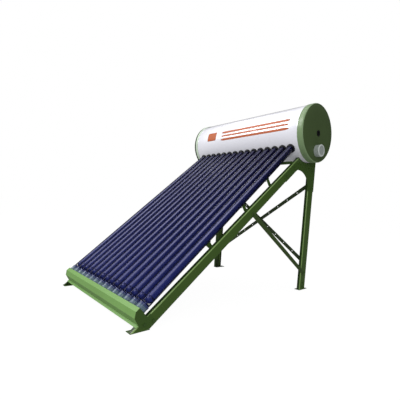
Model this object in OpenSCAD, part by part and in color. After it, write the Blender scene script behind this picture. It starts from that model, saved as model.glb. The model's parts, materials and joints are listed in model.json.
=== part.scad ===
// Thermosiphon solar water heater: glass vacuum tubes plug into an insulated storage
// tank, on a bolted sheet-steel stand. Millimetres, +Z up, X along the tank, +Y from
// the tubes' lower ends towards the tank. The origin is the centre of the four anchor
// holes, at ground level.

/* [Tubes] */
// Number of vacuum tubes
tube_count = 15; // [5:1:15]
// Distance between neighbouring tubes
tube_pitch = 75; // [75:0.5:75.5]
// Outer diameter of a tube
tube_d = 58; // [56:1:58]
// Length of a tube
tube_len = 1800; // [1780:5:1810]
// Slope of the tubes
tilt = 40; // [39.8:0.1:40.2]

/* [Tank] */
// Outer diameter of the white shell
tank_d = 454; // [452:1:458]
// Length over the end caps
tank_len = 1300; // [1290:5:1320]
// Diameter of the inner tank that holds the water
inner_d = 360; // [358:1:362]
// Width of an end cap's rim
cap_depth = 52; // [40:1:60]
// Distance of the heater below the tank's centre line
heater_drop = 140; // [132:1:140]

/* [Stand] */
// Width over the side frames
frame_w = 1116; // [1114:1:1118]
// Slope of the front legs
leg_tilt = 38.2; // [38:0.1:38.4]
// Depth of a front leg
leg_depth = 70; // [68:1:72]
// Depth of a rear leg
rear_depth = 85; // [82:1:88]
// Width of the legs' flanges
flange_w = 28; // [27:0.5:29]
// Distance between the front and rear anchor holes
anchor_pitch_y = 1640; // [1639:0.5:1641]
// Diameter of an anchor hole
anchor_hole_d = 12; // [10:0.5:13]

/* [Hidden] */
$fn = 64;
eps = 0.01;

function tube_name(i) = str("vacuum_tube_", i < 10 ? "0" : "", i);

// Colours
leg_green = [0.27, 0.38, 0.2];
tray_green = [0.58, 0.76, 0.46];
cap_green = [0.3, 0.4, 0.22];
shell_white = [0.94, 0.94, 0.96];
rubber_black = [0.07, 0.07, 0.09];
foam_cream = [0.93, 0.88, 0.7];
tube_blue = [0.13, 0.13, 0.35];
cup_blue = [0.72, 0.8, 0.82];
steel_grey = [0.7, 0.71, 0.73];
brass_gold = [0.75, 0.6, 0.3];
cover_grey = [0.75, 0.78, 0.77];

// Main lines. tube_reach runs along a tube from its lower tip to the point nearest the
// tank's axis, and tube_aim is how far above the tank's axis the tube's axis passes.
half_w = frame_w / 2;
tank_r = tank_d / 2;
tank_half = tank_len / 2;
inner_r = inner_d / 2;
tube_r = tube_d / 2;
tube_reach = 1880;
tube_aim = 10;
tip_z = 119;
rear_anchor_back = 179;
tank_y = anchor_pitch_y / 2 - rear_anchor_back;
tank_z = tip_z + tube_reach * sin(tilt) - tube_aim * cos(tilt);
tip_y = tank_y - tube_reach * cos(tilt) - tube_aim * sin(tilt);
anchor_x = half_w - 25;
tube_x = [for (i = [0:tube_count - 1]) (i - (tube_count - 1) / 2) * tube_pitch];

// Tank
shell_t = 1;
shell_half = tank_half - 10;
cap_r = tank_r + 3;
cap_gap = 0.5;
cap_t = 2.5;
cap_edge_r = 10;
inner_t = 1;
inner_half = tank_half - 62;
inner_edge_r = 15;
shell_hole_r = tube_r + 2.5;
seal_neck_r = tube_r + 3.9;
wall_hole_r = seal_neck_r + 0.1;
seal_flange_r = 37;
dust_seal_r = 36.5;
seal_pocket_r = seal_flange_r + 1.5;
run_fit = 0.05;
wall_reach = tube_reach - sqrt(inner_r * inner_r - tube_aim * tube_aim);
shell_reach = tube_reach - sqrt(tank_r * tank_r - tube_aim * tube_aim);

// Ports under the tank, behind its axis
pipe_r = 12.8;
pipe_thread_r = 13.2;
pipe_bore_r = 10;
vent_r = 10.1;
vent_thread_r = 10.5;
vent_bore_r = 8;
thread_len = 18;
anode_r = 10;
port_dy = 90;
inlet_x = 430;
overflow_x = -150;
anode_x = 150;
port_end = tank_r + 26;
port_gap = 0.1;

// Right-hand end: heater, thermostat, cover and sensor
socket_len = 13;
heater_socket_r = 25;
heater_thread_r = 21;
sensor_socket_r = 14;
sensor_thread_r = 9;
heater_port_r = 40;
heater_pocket_r = 41;
cover_r = 48;
cover_len = 45;
cover_t = 2.5;
collar_r = cover_r - cover_t - run_fit;
collar_len = 9;
sensor_hole_r = 20;
sensor_bore_r = 14;
stem_r = 3;

// Legs
sheet = 2;
bend_r = 8;
leg_gap = 46;
rear_edge_y = tank_y + 158;
rear_front_y = rear_edge_y - rear_depth;
rear_mid_y = rear_edge_y - rear_depth / 2;
foot_t = 3;
foot_w = 50;
heel_back = 37;
saddle_w = 32;
pad_t = 3;
saddle_r = tank_r + pad_t;
saddle_from = -28;
saddle_to = 45;
saddle_bolt_at = 6;
saddle_x = half_w + sheet - saddle_w;
leg_top_r = saddle_r + sheet + 1;

// Tail tray, measured along (u) and below (w) the front leg's line
tray_sheet = 1.5;
tray_back = -14.25;
cup_r = 31.5;
cup_rim = 24;
cup_stem_r = 15;

// Braces and crossbars
brace_w = 34;
brace_t = 3;
strut_w = 34;
strut_t = 2.5;
strut_x = 538;
strut_end_x = 549;
strut_low = 230;
strut_high = 945;
strut_pitch = 120;
strut_hole_r = 4.5;
crossbar_at = [560, 950, 1270, 1595];
crossbar_drop = 31.5;
crossbar_w = 40;
crossbar_h = 12;
crossbar_half = half_w - 32;
lug_foot = 24;
top_bar_w = 40;
top_bar_h = 24;

// Bolts
bolt_r = 4;
bolt_hole_r = 4.3;
head_r = 7.5;
head_h = 5.3;
nut_h = 6.5;
bolt_tail = nut_h + 2;

// ---------- frames of reference ----------

// local +Y runs up along the tubes, +Z stands off their plane
module in_tube_frame() { translate([0, tip_y, tip_z]) rotate([tilt, 0, 0]) children(); }

// the same for the front legs, which are a little shallower than the tubes
module in_leg_frame() { translate([0, tip_y, tip_z]) rotate([leg_tilt, 0, 0]) children(); }

// local +Z runs along +X on the tank's axis, and local +X points straight down
module in_tank_frame() { translate([0, tank_y, tank_z]) rotate([0, 90, 0]) children(); }

module along_tube(x, from, to, r, r_end) {
    in_tube_frame() translate([x, from, 0]) rotate([-90, 0, 0])
        cylinder(h = to - from, r1 = r, r2 = r_end == undef ? r : r_end);
}

module tank_cylinder(r) {
    in_tank_frame() translate([0, 0, -tank_len]) cylinder(h = 2 * tank_len, r = r);
}

module bar_x(y, z, from, to, r) {
    translate([from, y, z]) rotate([0, 90, 0]) cylinder(h = to - from, r = r);
}

module bar_z(x, y, from, to, r) { translate([x, y, from]) cylinder(h = to - from, r = r); }

module on_side(side) {
    if (side > 0) children();
    else mirror([1, 0, 0]) children();
}

module on_both_sides() { for (side = [1, -1]) on_side(side) children(); }

// the point [y, z] at u along and w below the front legs' line, or the tubes' line
function on_line(slope, u, w) =
    [tip_y + u * cos(slope) + w * sin(slope), tip_z + u * sin(slope) - w * cos(slope)];
function leg_pt(u, w) = on_line(leg_tilt, u, w);
function tube_pt(u, w) = on_line(tilt, u, w);
function leg_ground_u(w) = -(tip_z - w * cos(leg_tilt)) / sin(leg_tilt);

// an upright plate of thickness t from x outwards, its outline given as [y, z] points
module plate_x(x, t, points) {
    translate([x, 0, 0]) rotate([90, 0, 90]) linear_extrude(t) polygon(points);
}

// ---------- sections in 2D ----------

// sheet of thickness t bent along the runs between points
module bent_sheet(points, t) {
    for (i = [0:len(points) - 2]) {
        run = points[i + 1] - points[i];
        translate(points[i]) rotate(atan2(run[1], run[0]))
            translate([0, -t / 2]) square([norm(run), t]);
    }
    for (p = points) translate(p) circle(d = t);
}

// a rectangle whose two corners at x = 0 are rounded
module rounded_side(w, d, r) {
    translate([r, 0]) square([w - r, d]);
    translate([0, r]) square([w, d - 2 * r]);
    translate([r, r]) circle(r);
    translate([r, d - r]) circle(r);
}

// a channel: web at x = 0, flanges towards +x
module channel(depth) {
    difference() {
        rounded_side(flange_w, depth, bend_r);
        translate([sheet, sheet]) rounded_side(flange_w, depth - 2 * sheet, bend_r - sheet);
    }
}

// half of a round vessel's outline, closed at both ends, with edges of radius c
module vessel(r, half, c) {
    translate([0, -half]) square([r - c, 2 * half]);
    translate([0, c - half]) square([r, 2 * (half - c)]);
    for (end = [-1, 1]) translate([r - c, end * (half - c)]) circle(c);
}

// half of a round cup's outline, open at z = 0, with its far edge rounded
module cup_half(r, h, c) {
    square([r - c, h]);
    square([r, h - c]);
    translate([r - c, h - c]) circle(c);
}

// ---------- fasteners ----------

// the head stands on +Z from z = 0, and the shank runs down
module bolt(len) {
    cylinder(h = head_h, r = head_r, $fn = 6);
    translate([0, 0, -len]) cylinder(h = len + eps, r = bolt_r);
}

module nut() {
    difference() {
        cylinder(h = nut_h, r = head_r, $fn = 6);
        translate([0, 0, -1]) cylinder(h = nut_h + 2, r = bolt_r + run_fit);
    }
}

brace_top = leg_pt(975, 100);
brace_foot = [rear_edge_y - 50, 152];
bracket_bolts = [leg_pt(1450, 81), leg_pt(1570, 81),
                 [rear_mid_y, tank_z - 290], [rear_mid_y, tank_z - 430]];
front_foot_bolts = [leg_pt(-50, 65), leg_pt(0, 90)];
rear_foot_bolts = [[rear_mid_y, 28], [rear_mid_y, 64]];

// bolts along X through a side frame: [[y, z], outer face, thickness gripped]
side_bolts = concat(
    [for (p = bracket_bolts) [p, half_w + sheet, 2 * sheet]],
    [for (p = [brace_top, brace_foot]) [p, half_w + brace_t, brace_t + sheet]],
    [for (p = front_foot_bolts) [p, half_w + sheet, 2 * sheet + foot_t]],
    [for (p = rear_foot_bolts) [p, half_w, sheet + foot_t]]);

module side_bolt_frame(b) { translate([b[1], b[0][0], b[0][1]]) rotate([0, 90, 0]) children(); }

module crossbar_bolt_frame(at) {
    in_leg_frame() translate([half_w - 19, at, -leg_gap]) children();
}

module saddle_bolt_frame() {
    in_tank_frame() rotate([0, 0, saddle_bolt_at])
        translate([saddle_r + sheet, 0, saddle_x + saddle_w / 2]) rotate([0, 90, 0]) children();
}

// bolts through the rear legs' rear flanges: [x, z, rear face, thickness gripped]
strut_bolts = [
    [strut_x, strut_high, strut_t, strut_t + sheet],
    [-strut_x, strut_low, strut_t, strut_t + sheet],
    [strut_x, strut_low, 0, strut_t + sheet],
    [-strut_x, strut_high, 0, strut_t + sheet],
    [0, (strut_low + strut_high) / 2, strut_t, 2 * strut_t + sheet]];

module strut_bolt_frame(b) {
    translate([b[0], rear_edge_y + b[2], b[1]]) rotate([-90, 0, 0]) children();
}

module frame_bolts() {
    color(steel_grey) {
        on_both_sides() {
            for (b = side_bolts) side_bolt_frame(b) bolt(b[2] + bolt_tail);
            for (at = crossbar_at) crossbar_bolt_frame(at)
                translate([0, 0, sheet]) bolt(2 * sheet + bolt_tail);
            saddle_bolt_frame() bolt(sheet + pad_t + 12);
        }
        for (b = strut_bolts) strut_bolt_frame(b) bolt(b[3] + bolt_tail);
    }
}

module frame_nuts() {
    color(steel_grey) {
        on_both_sides() {
            for (b = side_bolts) side_bolt_frame(b) translate([0, 0, -b[2] - nut_h]) nut();
            for (at = crossbar_at) crossbar_bolt_frame(at)
                translate([0, 0, -sheet - nut_h]) nut();
        }
        for (b = strut_bolts) strut_bolt_frame(b) translate([0, 0, -b[3] - nut_h]) nut();
    }
}

module side_holes(points) {
    for (p = points) bar_x(p[0], p[1], half_w - 20, half_w + 20, bolt_hole_r);
}

module saddle_bolt_hole() {
    on_both_sides() saddle_bolt_frame() translate([0, 0, -20])
        cylinder(h = 30, r = bolt_hole_r);
}

// ---------- storage tank ----------

module port_holes(gap) {
    for (x = [inlet_x, -inlet_x])
        bar_z(x, tank_y + port_dy, tank_z - 300, tank_z - 100, pipe_r + gap);
    bar_z(overflow_x, tank_y + port_dy, tank_z - 300, tank_z - 100, vent_r + gap);
    bar_z(anode_x, tank_y + port_dy, tank_z - 300, tank_z - 100, anode_r + gap);
}

module tank_shell() {
    color(shell_white) difference() {
        in_tank_frame() difference() {
            translate([0, 0, -shell_half]) cylinder(h = 2 * shell_half, r = tank_r);
            translate([0, 0, -tank_half]) cylinder(h = tank_len, r = tank_r - shell_t);
        }
        for (x = tube_x) along_tube(x, shell_reach - 60, tube_reach - 150, shell_hole_r);
        port_holes(port_gap + 0.4);
        saddle_bolt_hole();
    }
}

module end_cap(side) {
    on_side(side) in_tank_frame() translate([0, 0, tank_half - cap_depth]) rotate_extrude()
        difference() {
            cup_half(cap_r, cap_depth, cap_edge_r);
            translate([0, -eps])
                cup_half(tank_r + cap_gap, cap_depth - cap_t + eps, cap_edge_r - cap_t);
        }
}

module end_cap_left() { color(cap_green) end_cap(-1); }

module end_cap_right() {
    color(cap_green) difference() {
        end_cap(1);
        bar_x(tank_y, tank_z, tank_half - 20, tank_half + 10, sensor_hole_r);
        bar_x(tank_y, tank_z - heater_drop, tank_half - 20, tank_half + 10, heater_port_r);
    }
}

module inner_tank() {
    color(steel_grey) difference() {
        union() {
            in_tank_frame() rotate_extrude() vessel(inner_r, inner_half, inner_edge_r);
            bar_x(tank_y, tank_z - heater_drop, inner_half - inner_t, inner_half + socket_len,
                  heater_socket_r);
            bar_x(tank_y, tank_z, inner_half - inner_t, inner_half + socket_len, sensor_socket_r);
        }
        in_tank_frame() rotate_extrude()
            vessel(inner_r - inner_t, inner_half - inner_t, inner_edge_r - inner_t);
        for (x = tube_x) along_tube(x, wall_reach - 30, tube_reach - 120, wall_hole_r);
        port_holes(port_gap);
        bar_x(tank_y, tank_z - heater_drop, inner_half - 10, tank_half, heater_thread_r);
        bar_x(tank_y, tank_z, inner_half - 10, tank_half, sensor_thread_r);
    }
}

module tank_insulation() {
    color(foam_cream) difference() {
        in_tank_frame() translate([0, 0, -shell_half])
            cylinder(h = 2 * shell_half, r = tank_r - shell_t - 0.1);
        in_tank_frame() rotate_extrude()
            vessel(inner_r + 0.1, inner_half + 0.1, inner_edge_r);
        for (x = tube_x) {
            along_tube(x, shell_reach - 60, tube_reach - 150, shell_hole_r);
            along_tube(x, wall_reach - 14, tube_reach - 150, seal_pocket_r);
        }
        port_holes(port_gap);
        bar_x(tank_y, tank_z - heater_drop, inner_half - 1, tank_half, heater_pocket_r);
        bar_x(tank_y, tank_z, inner_half - 1, tank_half, sensor_hole_r);
        saddle_bolt_hole();
    }
}

// silicone rings in the inner tank's holes, with a flange on each side of the wall
module tube_seals() {
    color(rubber_black) for (x = tube_x) difference() {
        union() {
            difference() {
                along_tube(x, wall_reach - 10, wall_reach + 12, seal_flange_r);
                tank_cylinder(inner_r);
            }
            along_tube(x, wall_reach - 10, wall_reach + 12, seal_neck_r);
            along_tube(x, wall_reach + 8, wall_reach + 12, seal_flange_r - 1);
        }
        along_tube(x, wall_reach - 20, wall_reach + 20, tube_r + run_fit);
    }
}

// rubber rings that keep dust out where the tubes enter the shell
module dust_seals() {
    color(rubber_black) for (x = tube_x) difference() {
        union() {
            difference() {
                union() {
                    along_tube(x, shell_reach - 13, shell_reach - 6, tube_r + 3.5, dust_seal_r);
                    along_tube(x, shell_reach - 6, shell_reach + 12, dust_seal_r);
                }
                tank_cylinder(tank_r);
            }
            along_tube(x, shell_reach - 10, shell_reach + 8, shell_hole_r - 0.1);
        }
        along_tube(x, shell_reach - 20, shell_reach + 20, tube_r + run_fit);
    }
}

module saddle_pads() {
    color(rubber_black) difference() {
        on_both_sides() in_tank_frame() translate([0, 0, saddle_x]) rotate([0, 0, saddle_from])
            rotate_extrude(angle = saddle_to - saddle_from)
                translate([tank_r + run_fit, 0]) square([pad_t - 2 * run_fit, saddle_w]);
        saddle_bolt_hole();
    }
}

module pipe_grommets() {
    color(rubber_black) for (p = [[inlet_x, pipe_r], [-inlet_x, pipe_r], [overflow_x, vent_r]])
        intersection() {
            difference() {
                bar_z(p[0], tank_y + port_dy, tank_z - 300, tank_z - 100, p[1] + 7);
                bar_z(p[0], tank_y + port_dy, tank_z - 310, tank_z - 90, p[1] + port_gap);
            }
            difference() {
                tank_cylinder(tank_r + 4);
                tank_cylinder(tank_r + run_fit);
            }
        }
}

module pipe(x, top, r, thread_r, bore_r) {
    foot = tank_z - port_end;
    color(steel_grey) difference() {
        union() {
            bar_z(x, tank_y + port_dy, foot, tank_z + top, r);
            bar_z(x, tank_y + port_dy, foot, foot + thread_len, thread_r);
        }
        bar_z(x, tank_y + port_dy, foot - 1, tank_z + top + 1, bore_r);
    }
}

module water_pipe(x) { pipe(x, -142, pipe_r, pipe_thread_r, pipe_bore_r); }

module cold_inlet() { water_pipe(inlet_x); }

module hot_outlet() { water_pipe(-inlet_x); }

// rises inside the tank, so that air and surplus water leave from the top
module overflow_pipe() { pipe(overflow_x, 120, vent_r, vent_thread_r, vent_bore_r); }

module anode_rod() {
    color(brass_gold) {
        bar_z(anode_x, tank_y + port_dy, tank_z - 217, tank_z + 100, anode_r);
        translate([anode_x, tank_y + port_dy, tank_z - 229]) cylinder(h = 12, r = 14, $fn = 6);
    }
}

// ---------- heater and sensor in the right-hand end ----------

module in_heater_frame() {
    translate([inner_half, tank_y, tank_z - heater_drop]) rotate([0, 90, 0]) children();
}

module electric_heater() {
    loop_r = 12;
    rod_r = 4.2;
    loop_back = 330;
    pin_end = tank_half - 10 - inner_half;
    color(brass_gold) in_heater_frame() {
        translate([0, 0, -8]) cylinder(h = socket_len + 8, r = heater_thread_r - 0.1);
        translate([0, 0, socket_len]) cylinder(h = 7, r = 27, $fn = 6);
        for (s = [-1, 1]) {
            translate([s * loop_r, 0, -loop_back]) cylinder(h = loop_back - 4, r = rod_r);
            translate([s * loop_r, 0, socket_len]) cylinder(h = pin_end - socket_len, r = stem_r);
        }
        translate([0, 0, -loop_back]) rotate([90, 0, 0]) rotate([0, 0, 180])
            rotate_extrude(angle = 180) translate([loop_r, 0]) circle(rod_r);
    }
}

// the heater's thermostat sits on its pins, just inside the cover
module thermostat() {
    color([0.15, 0.15, 0.16]) difference() {
        bar_x(tank_y, tank_z - heater_drop, tank_half - 10, tank_half + 14, 26);
        bar_x(tank_y, tank_z - heater_drop, tank_half + 4, tank_half + 15, stem_r + run_fit);
    }
}

module thermostat_dial() {
    color([0.8, 0.2, 0.15]) {
        bar_x(tank_y, tank_z - heater_drop, tank_half + 5, tank_half + 18, stem_r);
        difference() {
            bar_x(tank_y, tank_z - heater_drop, tank_half + 16, tank_half + 26, 14);
            translate([tank_half + 24, tank_y - 1.5, tank_z - heater_drop])
                cube([3, 3, 15]);
        }
    }
}

module cover_collar() {
    color(cap_green) difference() {
        bar_x(tank_y, tank_z - heater_drop, tank_half, tank_half + collar_len, collar_r);
        bar_x(tank_y, tank_z - heater_drop, tank_half - 1, tank_half + 10, heater_pocket_r);
    }
}

module heater_cover() {
    color(cover_grey) translate([tank_half, tank_y, tank_z - heater_drop]) rotate([0, 90, 0])
        rotate_extrude() difference() {
            cup_half(cover_r, cover_len, 6);
            translate([0, -eps]) cup_half(cover_r - cover_t, cover_len - cover_t + eps, 3.5);
        }
}

module sensor_grommet() {
    color(rubber_black) difference() {
        union() {
            bar_x(tank_y, tank_z, tank_half, tank_half + 2.5, sensor_hole_r + 4);
            bar_x(tank_y, tank_z, tank_half - 6, tank_half + 1, sensor_hole_r - 0.1);
            bar_x(tank_y, tank_z, tank_half - 6, tank_half - cap_t - 0.2, sensor_hole_r + 3);
        }
        bar_x(tank_y, tank_z, tank_half - 7, tank_half + 4, sensor_bore_r);
    }
}

module sensor_plug() {
    color([0.2, 0.2, 0.22]) {
        bar_x(tank_y, tank_z, inner_half - 200, inner_half, 4);
        bar_x(tank_y, tank_z, inner_half - 2, inner_half + socket_len + 1,
              sensor_thread_r - run_fit);
        bar_x(tank_y, tank_z, inner_half + socket_len, tank_half - 12, sensor_bore_r - 1);
    }
}

// ---------- vacuum tubes and their tail tray ----------

// a flask with two glass walls, joined at the mouth, and a sealed gap between them
module vacuum_tube(i) {
    wall = 1.6;
    nub_r = 4;
    bulb_z = tube_r + 8;
    inner_z = 60;
    absorber_r = 23.5;
    mouth_t = 5;
    color(tube_blue) in_tube_frame() translate([tube_x[i - 1], 0, 0]) rotate([-90, 0, 0])
        rotate_extrude() difference() {
            union() {
                half_disc(bulb_z, tube_r);
                translate([0, bulb_z]) square([tube_r, tube_len - bulb_z]);
                half_disc(nub_r, nub_r);
                translate([0, nub_r]) square([nub_r, 8]);
            }
            difference() {
                union() {
                    half_disc(bulb_z, tube_r - wall);
                    translate([0, bulb_z])
                        square([tube_r - wall, tube_len - mouth_t - bulb_z]);
                }
                half_disc(inner_z, absorber_r);
                translate([0, inner_z]) square([absorber_r, tube_len]);
            }
            half_disc(inner_z, absorber_r - wall);
            translate([0, inner_z]) square([absorber_r - wall, tube_len]);
        }
}

// the half of a disc that lies at x >= 0
module half_disc(y, r) {
    intersection() {
        translate([0, y]) circle(r);
        translate([0, y - r]) square([r, 2 * r]);
    }
}

// plastic cups that hold the tubes' lower ends and snap into the tray
module tail_cups() {
    color(cup_blue) for (x = tube_x) in_tube_frame() translate([x, 0, 0])
        rotate([-90, 0, 0]) rotate_extrude() difference() {
            union() {
                translate([0, -12]) square([cup_r, cup_rim + 12]);
                translate([0, -22]) square([cup_stem_r, 11]);
                translate([0, -22]) square([cup_stem_r + 3, 4.5]);
            }
            half_disc(tube_r + 8, tube_r + 0.4);
            translate([0, -6]) square([6, 16]);
        }
}

tray_points = [[tray_back - 12, -36], [tray_back, -36], [tray_back, 27.25], [-41, 27.25],
               [-67.5, 2.5], [-76, -leg_gap + tray_sheet / 2], [-92, -leg_gap + tray_sheet / 2]];

module tail_tray() {
    color(tray_green) difference() {
        in_leg_frame() translate([-half_w, 0, 0]) rotate([90, 0, 90])
            linear_extrude(frame_w) bent_sheet(tray_points, tray_sheet);
        for (x = tube_x) along_tube(x, -25, -5, cup_stem_r + 0.2);
    }
}

tray_end_outline = [[-13.5, -28], [-41.5, -28], [-68.5, -3], [-77, leg_gap], [-80, 60],
                    [-46, 104], [12, 104], [12, leg_gap], [-13.5, leg_gap]];

module tray_end(side) {
    color(leg_green) on_side(side) difference() {
        plate_x(half_w, sheet, [for (p = tray_end_outline) leg_pt(p[0], p[1])]);
        side_holes(front_foot_bolts);
    }
}

module tray_end_left() { tray_end(-1); }

module tray_end_right() { tray_end(1); }

// ---------- legs, feet and tank brackets ----------

module front_leg(side) {
    color(leg_green) on_side(side) difference() {
        in_leg_frame() translate([half_w, -160, -leg_gap]) rotate([-90, 0, 0])
            linear_extrude(1900) mirror([1, 0]) channel(leg_depth);
        translate([0, tip_y - 200, -200]) cube([frame_w, 400, 200 + foot_t]);
        tank_cylinder(leg_top_r);
        side_holes(concat(bracket_bolts, [brace_top], front_foot_bolts));
        for (at = crossbar_at) crossbar_bolt_frame(at) translate([0, 0, -sheet - 3])
            cylinder(h = sheet + 6, r = bolt_hole_r);
    }
}

module front_leg_left() { front_leg(-1); }

module front_leg_right() { front_leg(1); }

module rear_leg(side) {
    color(leg_green) on_side(side) difference() {
        translate([half_w, rear_front_y, foot_t]) linear_extrude(tank_z)
            mirror([1, 0]) channel(rear_depth);
        tank_cylinder(leg_top_r);
        side_holes(concat(bracket_bolts, [brace_foot], rear_foot_bolts));
        for (z = [strut_low, strut_high])
            translate([strut_x, rear_edge_y + 1, z]) rotate([90, 0, 0])
                cylinder(h = sheet + 4, r = bolt_hole_r);
    }
}

module rear_leg_left() { rear_leg(-1); }

module rear_leg_right() { rear_leg(1); }

// a base plate with an anchor hole, and an upright lug bolted inside the leg's web
module foot(side, from_y, to_y, hole_y, lug, bolts) {
    color(leg_green) on_side(side) difference() {
        union() {
            translate([half_w - foot_w, from_y, 0]) cube([foot_w, to_y - from_y, foot_t]);
            plate_x(half_w - sheet - foot_t, foot_t - 2 * eps, lug);
        }
        bar_z(anchor_x, hole_y, -1, foot_t + 1, anchor_hole_d / 2);
        side_holes(bolts);
    }
}

front_lug = [leg_pt(leg_ground_u(57), 57), leg_pt(16, 57), leg_pt(16, 105),
             leg_pt(leg_ground_u(105), 105)];
rear_lug = [[rear_front_y + 12, 0], [rear_edge_y - 12, 0], [rear_edge_y - 12, 80],
            [rear_front_y + 12, 80]];

module front_foot(side) {
    foot(side, leg_pt(leg_ground_u(leg_gap), leg_gap)[0],
         leg_pt(leg_ground_u(leg_gap + leg_depth), leg_gap + leg_depth)[0] + 2,
         -anchor_pitch_y / 2, front_lug, front_foot_bolts);
}

module rear_foot(side) {
    foot(side, rear_front_y, rear_edge_y + heel_back, anchor_pitch_y / 2, rear_lug,
         rear_foot_bolts);
}

module front_foot_left() { front_foot(-1); }

module front_foot_right() { front_foot(1); }

module rear_foot_left() { rear_foot(-1); }

module rear_foot_right() { rear_foot(1); }

// The plate that joins a front and a rear leg. The opening's top is an arch: a quarter of
// an ellipse that lands on the rear leg, and a fillet onto the front leg's lower edge.
arch_a = 164;
arch_b = 150;
arch_top = [rear_front_y - 6 - arch_a, tank_z - 300];
plate_start_u = 1420;
plate_bottom_z = tank_z - 456;
leg_low_w = leg_gap + leg_depth;
leg_high_w = leg_gap + bend_r;
leg_low_z = tip_z - leg_low_w * cos(leg_tilt)
    + (arch_top[0] - tip_y - leg_low_w * sin(leg_tilt)) * tan(leg_tilt);
fillet_r = (leg_low_z - arch_top[1]) * cos(leg_tilt) / (1 - cos(leg_tilt));

bracket_outline = concat(
    [leg_pt(plate_start_u, leg_low_w)],
    [for (k = [6:-1:0]) let (a = 90 + leg_tilt * k / 6)
        arch_top + fillet_r * [cos(a), sin(a) - 1]],
    [for (k = [1:16]) let (a = 90 - 90 * k / 16)
        arch_top + [arch_a * cos(a), arch_b * (sin(a) - 1)]],
    [[rear_front_y - 6, plate_bottom_z], [rear_edge_y, plate_bottom_z],
     [rear_edge_y, tank_z - 100], leg_pt(1700, leg_high_w),
     leg_pt(plate_start_u, leg_high_w)]);

module tank_bracket(side) {
    color(leg_green) on_side(side) difference() {
        union() {
            difference() {
                plate_x(half_w, sheet, bracket_outline);
                tank_cylinder(saddle_r);
            }
            in_tank_frame() translate([0, 0, saddle_x]) rotate([0, 0, saddle_from])
                rotate_extrude(angle = saddle_to - saddle_from)
                    translate([saddle_r, 0]) square([sheet, saddle_w]);
        }
        side_holes(bracket_bolts);
        saddle_bolt_hole();
    }
}

module tank_bracket_left() { tank_bracket(-1); }

module tank_bracket_right() { tank_bracket(1); }

// ---------- braces and crossbars ----------

// a flat strip with round ends and a pressed rib, outside the two legs
module side_brace(side) {
    run = brace_foot - brace_top;
    length = norm(run);
    end_r = brace_w / 2;
    color(leg_green) on_side(side) difference() {
        translate([half_w, brace_top[0], brace_top[1]]) rotate([90, 0, 90])
            rotate(atan2(run[1], run[0])) {
                linear_extrude(brace_t) {
                    translate([0, -end_r]) square([length, brace_w]);
                    circle(end_r);
                    translate([length, 0]) circle(end_r);
                }
                translate([40, 0, brace_t]) rotate([0, 90, 0]) intersection() {
                    cylinder(h = length - 80, r = 4);
                    translate([-5, -5, 0]) cube([5, 10, length]);
                }
            }
        side_holes([brace_top, brace_foot]);
    }
}

module side_brace_left() { side_brace(-1); }

module side_brace_right() { side_brace(1); }

// a punched strip across the rear legs, rising towards +X, from y forwards
module strut(y) {
    rise = strut_high - strut_low;
    reach = 2 * strut_x;
    length = norm([reach, rise]);
    color(leg_green) intersection() {
        translate([0, y, (strut_low + strut_high) / 2]) rotate([0, -atan2(rise, reach), 0])
            rotate([90, 0, 0]) linear_extrude(strut_t) difference() {
                square([length + strut_w, strut_w], center = true);
                for (x = [-length / 2, 0, length / 2]) translate([x, 0]) circle(bolt_hole_r);
                for (k = [1:5], s = [-1, 1]) translate([s * k * strut_pitch, 0]) circle(strut_hole_r);
            }
        translate([-strut_end_x, y - 10, 0]) cube([2 * strut_end_x, 20, tank_z]);
    }
}

module rear_brace_a() { strut(rear_edge_y + strut_t); }

module rear_brace_b() { mirror([1, 0, 0]) strut(rear_edge_y - sheet); }

module crossbar(k) {
    color(leg_green) in_tube_frame()
        translate([-crossbar_half, crossbar_at[k - 1], -crossbar_drop])
            rotate([90, 0, 90]) linear_extrude(2 * crossbar_half) difference() {
                translate([-crossbar_w / 2, -crossbar_h]) square([crossbar_w, crossbar_h]);
                translate([-crossbar_w / 2 + tray_sheet, -crossbar_h - 1])
                    square([crossbar_w - 2 * tray_sheet, crossbar_h + 1 - tray_sheet]);
            }
}

module crossbar_1() { crossbar(1); }

module crossbar_2() { crossbar(2); }

module crossbar_3() { crossbar(3); }

// the top one is an angle that lies on the legs themselves and joins them below the tank
module crossbar_4() {
    at = crossbar_at[3];
    half = crossbar_half + lug_foot;
    color(leg_green) difference() {
        in_leg_frame() translate([-half, at - top_bar_w / 2, -leg_gap])
            rotate([90, 0, 90]) linear_extrude(2 * half) {
                square([top_bar_w, sheet]);
                square([sheet, top_bar_h]);
            }
        on_both_sides() crossbar_bolt_frame(at) translate([0, 0, -1])
            cylinder(h = sheet + 2, r = bolt_hole_r);
    }
}

// upright lugs that carry the lower crossbars' ends above the legs, each with a bolted foot
module crossbar_brackets() {
    lug_half = 14;
    color(leg_green) on_both_sides() for (at = [for (k = [0:2]) crossbar_at[k]]) difference() {
        union() {
            plate_x(crossbar_half, sheet, [
                tube_pt(at - lug_half, crossbar_drop), tube_pt(at + lug_half, crossbar_drop),
                leg_pt(at + lug_half, leg_gap), leg_pt(at - lug_half, leg_gap)]);
            in_leg_frame() translate([crossbar_half, at - lug_half, -leg_gap])
                cube([lug_foot, 2 * lug_half, sheet]);
        }
        crossbar_bolt_frame(at) translate([0, 0, -1]) cylinder(h = sheet + 2, r = bolt_hole_r);
    }
}

// ---------- nodes ----------

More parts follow.
